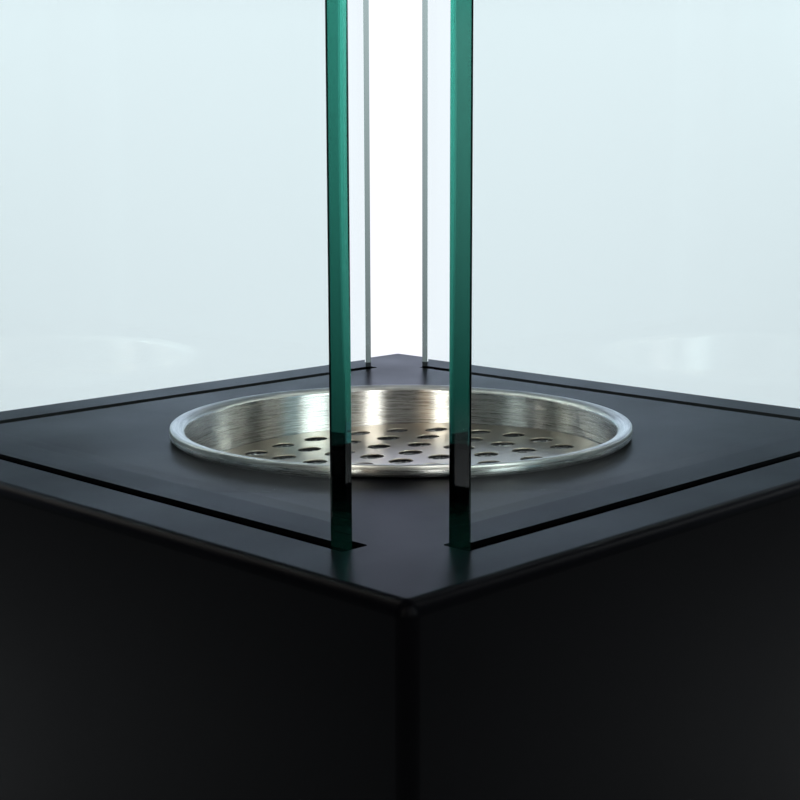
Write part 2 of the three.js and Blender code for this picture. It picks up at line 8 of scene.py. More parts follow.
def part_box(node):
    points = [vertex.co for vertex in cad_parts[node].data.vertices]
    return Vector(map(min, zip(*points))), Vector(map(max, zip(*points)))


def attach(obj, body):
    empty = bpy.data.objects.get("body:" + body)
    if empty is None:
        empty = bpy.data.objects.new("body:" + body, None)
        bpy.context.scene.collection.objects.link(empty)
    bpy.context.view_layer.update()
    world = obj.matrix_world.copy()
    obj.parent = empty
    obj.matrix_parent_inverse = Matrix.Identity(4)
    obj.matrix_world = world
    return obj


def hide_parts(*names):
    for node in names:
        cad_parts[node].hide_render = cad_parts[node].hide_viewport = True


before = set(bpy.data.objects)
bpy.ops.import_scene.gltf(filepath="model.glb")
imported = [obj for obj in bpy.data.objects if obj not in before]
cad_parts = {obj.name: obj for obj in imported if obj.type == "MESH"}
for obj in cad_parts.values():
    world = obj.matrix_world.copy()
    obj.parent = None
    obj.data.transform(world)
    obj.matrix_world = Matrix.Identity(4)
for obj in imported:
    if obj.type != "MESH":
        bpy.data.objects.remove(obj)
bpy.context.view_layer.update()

# ------------------------------------------------------------------ places and sizes, in metres

MM = 0.001
DEGREE = math.pi / 180

SIDES = {"front": 180, "right": -90, "back": 0, "left": 90}

casing_low, casing_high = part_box("casing")
cup_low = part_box("burner_cup")[0]

TOP = casing_high.z
CASING_BOTTOM = casing_low.z
HALF_SIDE = casing_high.x
SHEET = 2 * MM
UNDER_TOP = TOP - SHEET
FOLD_RADIUS = 4 * MM
CORNER_RADIUS = 4.5 * MM
FLANGE_WIDTH = 22 * MM
WINDOW_CORNER = 6 * MM
CASING_EDGE = 0.3 * MM
THROUGH_TOP = (TOP - 2 * SHEET, TOP + SHEET)
THROUGH_FLANGE = (CASING_BOTTOM - SHEET, CASING_BOTTOM + 2 * SHEET)

SLOT_INSET = 25.6 * MM
SLOT_WIDTH = 9.5 * MM
SLOT_LENGTH = 212 * MM
SLOT_CORNER = 1 * MM
SLOT_OFFSET = HALF_SIDE - SLOT_INSET

GLASS_ARRIS = 0.35 * MM
GLASS_CORNER = 2 * MM

CUP_SHEET = 0.8 * MM
RIM_ROLL_RADIUS = 2.7 * MM
RIM_FLATTENED = 0.83
RIM_LEAN = 0.30
CUP_INNER_RADIUS = 75.4 * MM
CUP_BOTTOM_FOLD = 6 * MM
BURNER_HOLE_RADIUS = 76.9 * MM

DISC_RADIUS = 74.8 * MM
DISC_SHEET = 0.6 * MM
DISC_EDGE = 0.2 * MM
DISC_DROP = 11.2 * MM
DISC_TILT = 2.35 * DEGREE
DISC_TILT_TOWARDS = 135 * DEGREE
DISC_RINGS = 4
DISC_RING_PITCH = 15.1 * MM
DISC_HOLES_PER_STEP = 6
DISC_HOLE_RADIUS = 4.5 * MM
DISC_HOLE_PHASE = 31 * DEGREE

WOOL_RADIUS = 74.6 * MM
WOOL_EDGE = 5 * MM
WOOL_GAP = 0.15 * MM
WOOL_LUMP = 0.8 * MM
WOOL_TUFT = 0.35 * MM
WOOL_LUMPS_PER_METRE = 120
WOOL_TUFTS_PER_METRE = 650
WOOL_RINGS = 78

MITRE_GAP = 1 * MM
MITRE_RELIEF = 6 * MM
MITRE_CORNER = 0.2 * MM
PLATE_SIDE = HALF_SIDE - 7 * MM
PLATE_CORNER = 6 * MM
PLATE_EDGE = 0.25 * MM
PLATE_SCREW_OFFSET = HALF_SIDE - 14 * MM
PLATE_SCREW_SPREAD = 90 * MM
PLATE_SCREW_LENGTH = 8 * MM

FOOT_OFFSET = HALF_SIDE - 38 * MM
FOOT_HEIGHT = 8 * MM
FOOT_DRAFT = 9
FOOT_SOLE_RADIUS, FOOT_SOLE_EDGE = 11 * MM, 0.9 * MM
FOOT_SHOULDER_RADIUS, FOOT_SHOULDER_EDGE = 11.95 * MM, 1 * MM
FOOT_GROOVE = ((7.6 * MM, 0), (7.8 * MM, 0.5 * MM), (8.6 * MM, 0.5 * MM), (8.8 * MM, 0))
FOOT_RECESS = 4 * MM
FOOT_RECESS_RADIUS = 5.5 * MM
FOOT_RECESS_LIP = 0.3 * MM
FOOT_RECESS_CORNER = 0.2 * MM
FOOT_SCREW_LENGTH = 12 * MM

SCREW_RADIUS = 2 * MM
SCREW_CLEARANCE = 0.25 * MM
SCREW_HEAD_RADIUS = 3.75 * MM
SCREW_HEAD_HEIGHT = 2.25 * MM
SCREW_CROWN = 1.4 * MM
SCREW_HEAD_EDGE = 0.1 * MM
SCREW_TIP_LENGTH, SCREW_TIP_TAPER = 0.5 * MM, 0.6 * MM
RECESS_HALF_LENGTH, RECESS_HALF_WIDTH = 1.8 * MM, 0.42 * MM
RECESS_CORNER = 0.15 * MM
RECESS_DEPTH = 1.3 * MM
THREAD_PITCH = 0.7 * MM
THREAD_DEPTH = 0.3 * MM

GLASS_BELOW_TOP = 22 * MM
CHANNEL_SHEET = 1.5 * MM
CHANNEL_GAP = 11.6 * MM
CHANNEL_LENGTH = 224 * MM
CHANNEL_FOLD = 1.75 * MM
CHANNEL_FLANGE = 12 * MM
CHANNEL_TOP_GAP = 0.25 * MM
CHANNEL_FLANGE_LENGTH = 200 * MM
NOTCH_CORNER = 1 * MM
GLAZING_WIDTH = 11 * MM
GLAZING_BORE = 8.3 * MM
GLAZING_FLOOR = 2 * MM
GLAZING_HEIGHT = 14 * MM
GLAZING_CHAMFER = 1.25 * MM
GLAZING_LENGTH = 200 * MM
GLAZING_OUTER_LIP = (0.4 * MM, 0.5 * MM)
GLAZING_INNER_LIP = (0.3 * MM, 0.8 * MM)
CHANNEL_FLOOR = TOP - GLASS_BELOW_TOP - GLAZING_FLOOR
CHANNEL_WALL_LINE = (CHANNEL_GAP + CHANNEL_SHEET) / 2
STUD_SPREAD = 80 * MM
STUD_LENGTH = 9 * MM
STUD_NECK = 0.7 * MM
STUD_TIP_LENGTH, STUD_TIP_TAPER = 0.4 * MM, 0.5 * MM
STUD_OFFSET = SLOT_OFFSET - CHANNEL_WALL_LINE - CHANNEL_FOLD - CHANNEL_FLANGE / 2
NUT_FLATS = 7 * MM
NUT_HEIGHT = 3.25 * MM
NUT_EDGE = 0.25 * MM

COLLAR_SHEET = 1.5 * MM
COLLAR_GAP = 1 * MM
COLLAR_FLANGE = 13 * MM
COLLAR_DEPTH = 18 * MM
COLLAR_FOLD = 2 * MM
TRAY_RADIUS = 98 * MM
TRAY_WALL = 16 * MM
TRAY_SHEET = 1 * MM
TRAY_FOLD = 4 * MM
TRAY_HEM_RADIUS = 2 * MM
RIVET_CIRCLE = 70 * MM
RIVET_RADIUS = 1.6 * MM
RIVET_HEAD_RADIUS, RIVET_HEAD_HEIGHT = 3.25 * MM, 1 * MM
RIVET_TAIL_RADIUS, RIVET_TAIL_HEIGHT = 2.5 * MM, 1.5 * MM
RIVET_STEPS = [0.2 * i for i in range(8)]

# ------------------------------------------------------------------ camera

FOCAL_PIXELS = 1509.9
IMAGE_PIXELS = 800
SENSOR = 36.0
CAMERA_PLACE = Vector((-0.3883, -0.3831, TOP + 0.1046))
CAMERA_YAW = math.pi / 4 - 0.0062
CAMERA_PITCH = 0.1689
CAMERA_ROLL = -0.0028
CAMERA_NEAR, CAMERA_FAR = 0.01, 50


def new_object(name, data):
    made = bpy.data.objects.new(name, data)
    bpy.context.collection.objects.link(made)
    return made


def make_camera():
    ahead = Vector((
        math.cos(CAMERA_YAW) * math.cos(CAMERA_PITCH),
        math.sin(CAMERA_YAW) * math.cos(CAMERA_PITCH),
        -math.sin(CAMERA_PITCH),
    ))
    level_right = ahead.cross(Vector((0, 0, 1))).normalized()
    level_up = level_right.cross(ahead)
    right = math.cos(CAMERA_ROLL) * level_right + math.sin(CAMERA_ROLL) * level_up
    up = right.cross(ahead)
    data = bpy.data.cameras.new("camera")
    data.sensor_width = SENSOR
    data.lens = FOCAL_PIXELS / IMAGE_PIXELS * SENSOR
    data.clip_start = CAMERA_NEAR
    data.clip_end = CAMERA_FAR
    camera = new_object("camera", data)
    axes = Matrix((right, up, -ahead)).transposed()
    camera.matrix_world = Matrix.Translation(CAMERA_PLACE) @ axes.to_4x4()
    bpy.context.scene.camera = camera


make_camera()

# ------------------------------------------------------------------ node helpers


class Nodes:
    """A node tree, with short calls to add nodes to it."""

    def __init__(self, tree):
        self.tree = tree

    def link(self, source, target):
        self.tree.links.new(source, target)

    def node(self, kind, inputs=None, **settings):
        node = self.tree.nodes.new(kind)
        for key, value in settings.items():
            setattr(node, key, value)
        for key, value in (inputs or {}).items():
            if isinstance(value, bpy.types.NodeSocket):
                self.link(value, node.inputs[key])
            else:
                node.inputs[key].default_value = value
        return node

    def math(self, operation, *values, clamp=False):
        inputs = dict(enumerate(values))
        node = self.node("ShaderNodeMath", inputs, operation=operation, use_clamp=clamp)
        return node.outputs["Value"]

    def span(self, value, low, high, out_low=0.0, out_high=1.0, kind="LINEAR"):
        node = self.node("ShaderNodeMapRange", {
            "Value": value,
            "From Min": low,
            "From Max": high,
            "To Min": out_low,
            "To Max": out_high,
        }, interpolation_type=kind)
        return node.outputs["Result"]

    def ramp(self, *values):
        """A span with soft ends."""
        return self.span(*values, kind="SMOOTHSTEP")


class Shader(Nodes):
    """A material's node tree, with its Principled shader ready."""

    def __init__(self, name, color, roughness, metallic=0.0):
        self.material = bpy.data.materials.new(name)
        self.material.use_nodes = True
        super().__init__(self.material.node_tree)
        self.bsdf = self.tree.nodes["Principled BSDF"]
        self.set("Base Color", (*color, 1.0))
        self.set("Roughness", roughness)
        self.set("Metallic", metallic)
        self.place = self.tree.nodes.new("ShaderNodeTexCoord").outputs["Object"]

    def set(self, socket, value):
        self.bsdf.inputs[socket].default_value = value

    def into(self, source, socket):
        self.link(source, self.bsdf.inputs[socket])

    def stretched(self, scale):
        mapping = self.node("ShaderNodeMapping", {"Vector": self.place, "Scale": scale})
        return mapping.outputs["Vector"]

    def noise(self, scale, detail=2.0, roughness=0.5, vector=None, distortion=0.0):
        node = self.node("ShaderNodeTexNoise", {
            "Vector": vector or self.place,
            "Scale": scale,
            "Detail": detail,
            "Roughness": roughness,
            "Distortion": distortion,
        })
        return node.outputs["Fac"]

    def mix(self, factor, first, second):
        node = self.node("ShaderNodeMix", data_type="RGBA")
        for index, value in ((0, factor), (6, first), (7, second)):
            if isinstance(value, bpy.types.NodeSocket):
                self.link(value, node.inputs[index])
            elif index:
                node.inputs[index].default_value = (*value, 1.0)
            else:
                node.inputs[index].default_value = value
        return node.outputs[2]

    def bump(self, height, strength, distance):
        inputs = {"Height": height, "Strength": strength, "Distance": distance}
        return self.node("ShaderNodeBump", inputs).outputs["Normal"]


# ------------------------------------------------------------------ materials


def powder_coat():
    coat = Shader("powder_coat", (0.0007, 0.0007, 0.0011), 0.36)
    coat.set("IOR", 1.085)
    grain = coat.noise(1500, detail=3.0, roughness=0.6)
    cloud = coat.noise(22, detail=4.0)
    patches = coat.span(cloud, 0.35, 0.7)
    tone = coat.mix(patches, (0.0005, 0.0005, 0.0008), (0.0009, 0.0009, 0.0014))
    coat.into(tone, "Base Color")
    coat.into(coat.span(cloud, 0.3, 0.75, 0.33, 0.40), "Roughness")
    coat.into(coat.bump(grain, 0.10, 0.08 * MM), "Normal")
    return coat.material


def brushed_round(name, color, roughness, anisotropy):
    """Stainless steel brushed round the burner's own axis, which is the object's Z."""
    steel = Shader(name, color, roughness, 1.0)
    steel.set("Anisotropic", anisotropy)
    steel.set("Anisotropic Rotation", 0.25)
    axes = steel.node("ShaderNodeSeparateXYZ", {"Vector": steel.place}).outputs
    flat = steel.node("ShaderNodeCombineXYZ", {"X": axes["X"], "Y": axes["Y"]}).outputs["Vector"]
    radius = steel.node("ShaderNodeVectorMath", {0: flat}, operation="LENGTH").outputs["Value"]
    angle = steel.math("ARCTAN2", axes["Y"], axes["X"])

    def swept(across, along, detail):
        """Noise drawn out round the axis, with its scales across and along the brushing."""
        vector = steel.node("ShaderNodeCombineXYZ", {
            "X": steel.math("MULTIPLY", radius, across),
            "Y": steel.math("MULTIPLY", angle, along),
            "Z": steel.math("MULTIPLY", axes["Z"], across),
        })
        return steel.noise(1.0, detail, roughness=0.7, vector=vector.outputs["Vector"])

    lines = swept(9000.0, 9.0, 3.0)
    streaks = swept(1500.0, 4.0, 4.0)
    patches = steel.noise(60, detail=3.0)
    steel.into(steel.span(lines, 0.25, 0.75, roughness - 0.07, roughness + 0.09), "Roughness")
    tone = steel.mix(
        steel.span(patches, 0.35, 0.7),
        tuple(channel * 0.93 for channel in color),
        tuple(min(1.0, channel * 1.04) for channel in color),
    )
    worn = tuple(channel * 0.62 for channel in color)
    steel.into(steel.mix(steel.span(streaks, 0.36, 0.56), worn, tone), "Base Color")
    steel.into(steel.bump(lines, 0.12, 0.02 * MM), "Normal")
    tangent = steel.node("ShaderNodeTangent", direction_type="RADIAL", axis="Z")
    steel.into(tangent.outputs["Tangent"], "Tangent")
    return steel.material


def heat_tinted_plate():
    """The perforated plate: satin steel, browned a little by the flame."""
    plate = Shader("heat_tinted_plate", (0.50, 0.44, 0.36), 0.36, 1.0)
    along = plate.stretched((260, 4200, 260))
    rolled = plate.noise(1.0, detail=3.0, roughness=0.7, vector=along)
    stain = plate.noise(26, detail=5.0, roughness=0.65, distortion=0.4)
    steel_tone = plate.mix(plate.span(stain, 0.3, 0.7), (0.46, 0.40, 0.33), (0.56, 0.49, 0.40))
    tint = plate.mix(plate.span(stain, 0.56, 0.85), steel_tone, (0.46, 0.35, 0.25))
    plate.into(tint, "Base Color")
    plate.into(plate.span(rolled, 0.25, 0.75, 0.32, 0.42), "Roughness")
    plate.into(plate.bump(rolled, 0.10, 0.02 * MM), "Normal")
    return plate.material


def clear_glass():
    glass = Shader("clear_glass", (1.0, 1.0, 1.0), 0.0)
    glass.set("Transmission Weight", 1.0)
    glass.set("IOR", 1.52)
    faint = glass.noise(9, detail=1.0)
    glass.into(glass.bump(faint, 0.02, 0.02 * MM), "Normal")
    tint = {"Color": (0.12, 0.71, 0.62, 1.0), "Density": 13.5}
    absorb = glass.node("ShaderNodeVolumeAbsorption", tint)
    output = glass.tree.nodes["Material Output"]
    glass.link(absorb.outputs["Volume"], output.inputs["Volume"])
    return glass.material


def zinc_plate():
    zinc = Shader("zinc_plate", (0.46, 0.47, 0.49), 0.38, 1.0)
    spangle = zinc.node("ShaderNodeTexVoronoi", {"Vector": zinc.place, "Scale": 240.0})
    cloud = zinc.noise(45, detail=4.0)
    tone = zinc.mix(spangle.outputs["Distance"], (0.40, 0.41, 0.43), (0.56, 0.57, 0.58))
    zinc.into(zinc.mix(zinc.span(cloud, 0.3, 0.7), tone, (0.50, 0.50, 0.50)), "Base Color")
    zinc.into(zinc.span(cloud, 0.25, 0.75, 0.30, 0.48), "Roughness")
    zinc.into(zinc.bump(cloud, 0.05, 0.05 * MM), "Normal")
    return zinc.material


def rubber():
    soft = Shader("rubber", (0.018, 0.018, 0.019), 0.75)
    grain = soft.noise(2600, detail=2.0)
    dust = soft.noise(60, detail=4.0)
    tone = soft.mix(soft.span(dust, 0.4, 0.8), (0.014, 0.014, 0.015), (0.034, 0.033, 0.032))
    soft.into(tone, "Base Color")
    soft.into(soft.span(dust, 0.3, 0.7, 0.66, 0.86), "Roughness")
    soft.into(soft.bump(grain, 0.25, 0.05 * MM), "Normal")
    return soft.material


def burnt_wool():
    wool = Shader("burnt_wool", (0.20, 0.20, 0.19), 0.95)
    fibres = wool.noise(900, detail=5.0, roughness=0.75, distortion=3.0)
    tufts = wool.noise(330, detail=4.0, roughness=0.65, distortion=1.2)
    char = wool.noise(60, detail=3.0)
    pale = wool.mix(wool.span(fibres, 0.36, 0.66), (0.10, 0.11, 0.12), (0.80, 0.79, 0.75))
    sooty = wool.mix(wool.span(tufts, 0.49, 0.59), (0.014, 0.014, 0.017), pale)
    wool.into(wool.mix(wool.span(char, 0.56, 0.80), sooty, (0.040, 0.033, 0.028)), "Base Color")
    wool.into(wool.bump(fibres, 0.8, 0.6 * MM), "Normal")
    wool.set("Sheen Weight", 0.15)
    return wool.material


POWDER_COAT = powder_coat()
CUP_STEEL = brushed_round("brushed_cup", (0.60, 0.58, 0.56), 0.27, 1.0)
RIM_STEEL = brushed_round("satin_rim", (0.60, 0.57, 0.53), 0.38, 0.4)
PLATE_STEEL = heat_tinted_plate()
GLASS = clear_glass()
ZINC = zinc_plate()
RUBBER = rubber()
WOOL = burnt_wool()

# ------------------------------------------------------------------ mesh helpers


def add_mesh(name, vertices, faces, material, smooth_below=35 * DEGREE):
    mesh = bpy.data.meshes.new(name)
    mesh.from_pydata(vertices, [], faces)
    mesh.materials.append(material)
    piece = new_object(name, mesh)
    tidy_mesh(mesh, smooth_below)
    return piece


def shade(mesh, smooth_below):
    """Smooth shading, with sharp edges where faces meet at more than the angle."""
    for polygon in mesh.polygons:
        polygon.use_smooth = True
    mesh.set_sharp_from_angle(angle=smooth_below)


def tidy_mesh(mesh, smooth_below):
    work = bmesh.new()
    work.from_mesh(mesh)
    bmesh.ops.remove_doubles(work, verts=work.verts, dist=1e-6)
    bmesh.ops.recalc_face_normals(work, faces=work.faces)
    work.to_mesh(mesh)
    work.free()
    shade(mesh, smooth_below)


def settled_mesh(piece):
    """A new mesh of the piece as its modifiers or its curve make it."""
    graph = bpy.context.evaluated_depsgraph_get()
    return bpy.data.meshes.new_from_object(piece.evaluated_get(graph))


def settle(piece, smooth_below=35 * DEGREE):
    """Turns a piece's modifiers into its mesh."""
    mesh = settled_mesh(piece)
    piece.modifiers.clear()
    piece.data = mesh
    shade(mesh, smooth_below)


def rounded_outline(half_x, half_y, radius, steps):
    points = []
    for quarter, (sx, sy) in enumerate(((1, 1), (-1, 1), (-1, -1), (1, -1))):
        for step in range(steps + 1):
            angle = (quarter + step / steps) * math.pi / 2
            x = sx * (half_x - radius) + radius * math.cos(angle)
            y = sy * (half_y - radius) + radius * math.sin(angle)
            points.append((x, y))
    return points


def loft(name, rings, material, smooth_below=35 * DEGREE):
    """A closed body through rings of equal point counts, with flat ends."""
    count = len(rings[0])
    vertices = [point for ring in rings for point in ring]
    faces = [list(range(count))[::-1], [(len(rings) - 1) * count + i for i in range(count)]]
    for level in range(len(rings) - 1):
        for i in range(count):
            j = (i + 1) % count
            low, high = level * count, (level + 1) * count
            faces.append((low + i, low + j, high + j, high + i))
    return add_mesh(name, vertices, faces, material, smooth_below)


def folded_block(name, half, corner, edge, z_low, z_high, material):
    """A block whose edges are all rounded, like a folded box."""
    steps = 8
    levels = []
    for step in range(steps + 1):
        angle = step / steps * math.pi / 2
        levels.append((edge * (1 - math.sin(angle)), z_low + edge * (1 - math.cos(angle))))
    for step in range(steps + 1):
        angle = (1 - step / steps) * math.pi / 2
        levels.append((edge * (1 - math.sin(angle)), z_high - edge * (1 - math.cos(angle))))
    rings = []
    for inset, z in levels:
        side = half - inset
        outline = rounded_outline(side, side, max(corner - inset, 0.1 * MM), steps)
        rings.append([(x, y, z) for x, y in outline])
    return loft(name, rings, material)


def revolve(name, profile, material, segments=160):
    """Turns (radius, height) points about Z.

    The profile is closed, or starts and ends on the axis.
    """
    vertices = []
    index = []
    for radius, height in profile:
        if radius < 1e-9:
            index.append([len(vertices)] * segments)
            vertices.append((0.0, 0.0, height))
        else:
            index.append([len(vertices) + i for i in range(segments)])
            for i in range(segments):
                angle = 2 * math.pi * i / segments
                vertices.append((radius * math.cos(angle), radius * math.sin(angle), height))
    faces = []
    for k in range(len(profile)):
        near, far = index[k], index[(k + 1) % len(profile)]
        for i in range(segments):
            j = (i + 1) % segments
            corners = []
            for corner in (near[i], near[j], far[j], far[i]):
                if corner not in corners:
                    corners.append(corner)
            if len(corners) > 2:
                faces.append(corners)
    return add_mesh(name, vertices, faces, material)


def arc(centre_x, centre_y, radius, start, end, steps):
    """Points on an arc, from one angle in degrees to another."""
    points = []
    for i in range(steps + 1):
        angle = (start + (end - start) * i / steps) * DEGREE
        points.append((centre_x + radius * math.cos(angle), centre_y + radius * math.sin(angle)))
    return points


class SheetSection:
    """The section of a bent sheet: straight runs and bends along its middle line."""

    def __init__(self, x, y, heading):
        self.point = Vector((x, y))
        self.heading = heading * DEGREE
        self.stations = []
        self.mark()

    def normal(self):
        return Vector((-math.sin(self.heading), math.cos(self.heading)))

    def mark(self):
        self.stations.append((self.point.copy(), self.normal()))

    def straight(self, length):
        self.point += length * Vector((math.cos(self.heading), math.sin(self.heading)))
        self.mark()
        return self

    def bend(self, radius, degrees, steps):
        side = math.copysign(1, degrees)
        centre = self.point + side * radius * self.normal()
        step = degrees * DEGREE / steps
        for _ in range(steps):
            self.point = centre + Matrix.Rotation(step, 2) @ (self.point - centre)
            self.heading += step
            self.mark()
        return self

    def outline(self, thickness):
        left = [point + normal * thickness / 2 for point, normal in self.stations]
        right = [point - normal * thickness / 2 for point, normal in self.stations]
        return [tuple(point) for point in left + right[::-1]]


def cut(piece, cutters):
    """Takes the cutters out of the piece and deletes them."""
    for cutter in cutters:
        modifier = piece.modifiers.new("cut", "BOOLEAN")
        modifier.operation = "DIFFERENCE"
        modifier.solver = "EXACT"
        modifier.object = cutter
        settle(piece)
        bpy.data.objects.remove(cutter)
    return piece


def weigh_normals(piece, weight=50):
    """Keeps flat faces flat in the shading."""
    weighted = piece.modifiers.new("weighted", "WEIGHTED_NORMAL")
    weighted.keep_sharp = True
    weighted.weight = weight


def soften(piece, width, segments=2, angle=50 * DEGREE):
    """Rounds the sharp edges a little."""
    bevel = piece.modifiers.new("soften", "BEVEL")
    bevel.width = width
    bevel.segments = segments
    bevel.limit_method = "ANGLE"
    bevel.angle_limit = angle
    bevel.use_clamp_overlap = True
    settle(piece, 80 * DEGREE)
    weigh_normals(piece, 80)
    return piece


def join(pieces, name):
    """Makes one mesh of several."""
    work = bmesh.new()
    for piece in pieces:
        part = piece.data.copy()
        part.transform(piece.matrix_world)
        work.from_mesh(part)
    mesh = bpy.data.meshes.new(name)
    work.to_mesh(mesh)
    work.free()
    for piece in pieces:
        bpy.data.objects.remove(piece)
    return new_object(name, mesh)


def moved(piece, matrix):
    """Puts the place into the mesh, so that the object stays at the origin."""
    piece.data.transform(matrix)
    piece.data.update()
    return piece


def turned(piece, degrees):
    return moved(piece, Matrix.Rotation(degrees * DEGREE, 4, "Z"))


# ------------------------------------------------------------------ casing


def slab(name, outline, z_low, z_high, material=None):
    rings = [[(x, y, z) for x, y in outline] for z in (z_low, z_high)]
    return loft(name, rings, material)


def shifted(outline, x, y):
    return [(px + x, py + y) for px, py in outline]


def drill(x, y, z_low, z_high, radius=SCREW_RADIUS + SCREW_CLEARANCE, segments=32):
    profile = [(0, z_low), (radius, z_low), (radius, z_high), (0, z_high)]
    return moved(revolve("drill", profile, None, segments), Matrix.Translation((x, y, 0)))


def plate_screw_places():
    for turn in SIDES.values():
        for along in (-PLATE_SCREW_SPREAD, PLATE_SCREW_SPREAD):
            yield tuple(Matrix.Rotation(turn * DEGREE, 2) @ Vector((along, PLATE_SCREW_OFFSET)))


def make_casing():
    outside = folded_block(
        "casing_shell", HALF_SIDE, CORNER_RADIUS, FOLD_RADIUS, CASING_BOTTOM, TOP, POWDER_COAT,
    )
    inside = folded_block(
        "inside", HALF_SIDE - SHEET, CORNER_RADIUS - SHEET, FOLD_RADIUS - SHEET,
        CASING_BOTTOM + SHEET, UNDER_TOP, None,
    )
    window_half = HALF_SIDE - FLANGE_WIDTH
    window = rounded_outline(window_half, window_half, WINDOW_CORNER, 6)
    cutters = [
        inside,
        slab("window", window, *THROUGH_FLANGE),
        drill(0, 0, *THROUGH_TOP, BURNER_HOLE_RADIUS, 160),
    ]
    slot = rounded_outline(SLOT_LENGTH / 2, SLOT_WIDTH / 2, SLOT_CORNER, 4)
    for turn in SIDES.values():
        cutters.append(turned(slab("slot", shifted(slot, 0, SLOT_OFFSET), *THROUGH_TOP), turn))
    reach = HALF_SIDE - MITRE_RELIEF
    slit_half = ((reach - window_half) * math.sqrt(2) + MITRE_RELIEF) / 2
    slit_middle = (reach + window_half) / 2 * math.sqrt(2)
    slit = rounded_outline(slit_half, MITRE_GAP / 2, MITRE_CORNER, 2)
    for quarter in range(4):
        mitre = slab("slit", shifted(slit, slit_middle, 0), *THROUGH_FLANGE)
        cutters.append(turned(mitre, 45 + 90 * quarter))
    cutters += [drill(x, y, *THROUGH_FLANGE) for x, y in plate_screw_places()]
    cut(outside, cutters)
    soften(outside, CASING_EDGE, 3)
    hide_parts("casing")
    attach(outside, "base")


make_casing()

# ------------------------------------------------------------------ glass


def make_glass(side, turn):
    low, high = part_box(f"glass_{side}")
    along_x = side in ("front", "back")
    thickness = (high.y - low.y) if along_x else (high.x - low.x)
    width = (high.x - low.x) if along_x else (high.y - low.y)
    height = high.z - low.z
    rings = []
    arris_steps = 4
    for face in (-1, 1):
        for step in range(arris_steps + 1):
            share = step / arris_steps if face < 0 else 1 - step / arris_steps
            inset = GLASS_ARRIS * (1 - share)
            depth = face * (thickness / 2 - GLASS_ARRIS * share)
            half_x, half_z = width / 2 - inset, height / 2 - inset
            outline = rounded_outline(half_x, half_z, GLASS_CORNER - inset, 8)
            rings.append([(x, -depth, z) for x, z in outline])
    panel = loft(f"glass_panel_{side}", rings, GLASS, 25 * DEGREE)
    panel.data.materials.append(RUBBER)
    for polygon in panel.data.polygons:
        if polygon.center.z < -height / 2 + GLASS_CORNER and abs(polygon.normal.y) < 0.9:
            polygon.material_index = 1
    turned(panel, turn)
    moved(panel, Matrix.Translation((low + high) / 2))
    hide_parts(f"glass_{side}")
    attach(panel, f"{side}_panel")


for side, turn in SIDES.items():
    make_glass(side, turn)

# ------------------------------------------------------------------ burner


def lean_rim(radius, height):
    """Presses the rolled rim a little flatter and moves its crest outwards."""
    if height < TOP:
        return radius, height
    width = 2 * RIM_ROLL_RADIUS
    across = (radius - CUP_INNER_RADIUS) / width
    rise = (height - TOP) / width
    across += RIM_LEAN * rise * 4 * across * (1 - across)
    return CUP_INNER_RADIUS + across * width, TOP + RIM_FLATTENED * (height - TOP)


def make_cup():
    roll = RIM_ROLL_RADIUS - CUP_SHEET / 2
    floor_line = cup_low.z + CUP_SHEET / 2
    wall_line = CUP_INNER_RADIUS + CUP_SHEET / 2
    section = (
        SheetSection(0, floor_line, 0)
        .straight(wall_line - CUP_BOTTOM_FOLD)
        .bend(CUP_BOTTOM_FOLD, 90, 10)
        .straight(TOP + RIM_ROLL_RADIUS - floor_line - CUP_BOTTOM_FOLD)
        .bend(roll, -300, 40)
    )
    profile = [lean_rim(*point) for point in section.outline(CUP_SHEET)]
    cup = revolve("rolled_rim_cup", profile, CUP_STEEL, 256)
    cup.data.materials.append(RIM_STEEL)
    for polygon in cup.data.polygons:
        if polygon.center.z > TOP + RIM_ROLL_RADIUS:
            polygon.material_index = 1
    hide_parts("burner_cup")
    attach(cup, "burner")


make_cup()


def disc_matrix():
    """Lays a piece drawn flat at height zero where the perforated plate lies."""
    level_line = Vector((-math.sin(DISC_TILT_TOWARDS), math.cos(DISC_TILT_TOWARDS), 0))
    place = Matrix.Translation((0, 0, TOP - DISC_DROP))
    return place @ Matrix.Rotation(DISC_TILT, 4, level_line)


def hole_centres():
    for ring in range(DISC_RINGS + 1):
        count = max(1, ring * DISC_HOLES_PER_STEP)
        for i in range(count):
            angle = DISC_HOLE_PHASE + 2 * math.pi * i / count
            radius = ring * DISC_RING_PITCH
            yield radius * math.cos(angle), radius * math.sin(angle)


def make_disc():
    curve = bpy.data.curves.new("perforated_plate", "CURVE")
    curve.dimensions = "2D"
    curve.fill_mode = "BOTH"
    curve.extrude = DISC_SHEET / 2 - DISC_EDGE
    curve.bevel_depth = DISC_EDGE
    curve.bevel_resolution = 2
    curve.offset = -DISC_EDGE
    circles = [(0, 0, DISC_RADIUS, 180)]
    circles += [(x, y, DISC_HOLE_RADIUS, 32) for x, y in hole_centres()]
    for x, y, radius, count in circles:
        spline = curve.splines.new("POLY")
        spline.points.add(count - 1)
        spline.use_cyclic_u = True
        for i in range(count):
            angle = 2 * math.pi * i / count
            place = (x + radius * math.cos(angle), y + radius * math.sin(angle))
            spline.points[i].co = (*place, 0, 1)
    flat = new_object("perforated_plate", curve)
    mesh = settled_mesh(flat)
    bpy.data.objects.remove(flat)
    mesh.materials.clear()
    mesh.materials.append(PLATE_STEEL)
    plate = new_object("punched_plate", mesh)
    tidy_mesh(mesh, 60 * DEGREE)
    moved(plate, disc_matrix() @ Matrix.Translation((0, 0, -DISC_SHEET / 2)))
    weigh_normals(plate)
    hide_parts("perforated_disc")
    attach(plate, "perforated_plate")


make_disc()


